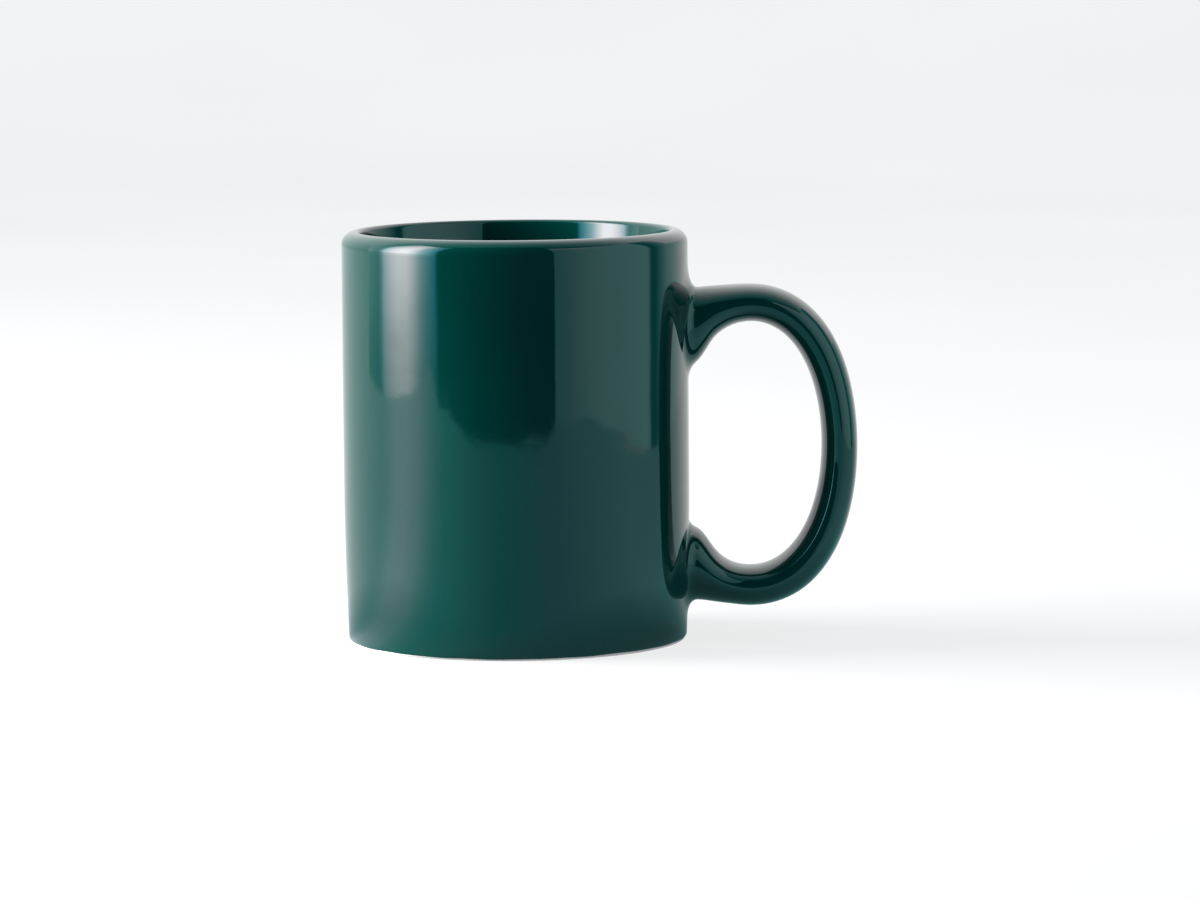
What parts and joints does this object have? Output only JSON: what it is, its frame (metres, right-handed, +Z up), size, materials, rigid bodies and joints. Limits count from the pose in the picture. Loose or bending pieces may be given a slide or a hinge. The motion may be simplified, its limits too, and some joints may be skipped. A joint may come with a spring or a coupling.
{
  "type": "mug",
  "caption": "Straight-sided glazed ceramic mug with a rounded lip, a bare clay foot ring and one ear-shaped handle luted to the wall.",
  "frame": {"origin": "the mug's axis at table level, in the middle of the foot ring", "axes": "+Z up along the cup's axis, out of the mouth; +X from the axis towards the handle; +Y to the left when looking from the cup towards the handle, with the mug upright"},
  "size_m": [0.1191, 0.08, 0.095],
  "materials": {
    "bare_clay": "matte",
    "slip": "matte",
    "green_glaze": "gloss",
    "liner_glaze": "gloss"
  },
  "bodies": {
    "root": {"clay_body": "bare_clay", "clay_handle": "bare_clay", "upper_slip_joint": "slip", "lower_slip_joint": "slip", "outer_glaze": "green_glaze", "handle_glaze": "green_glaze", "inner_glaze": "liner_glaze", "base_glaze": "green_glaze"}
  },
  "joints": []
}
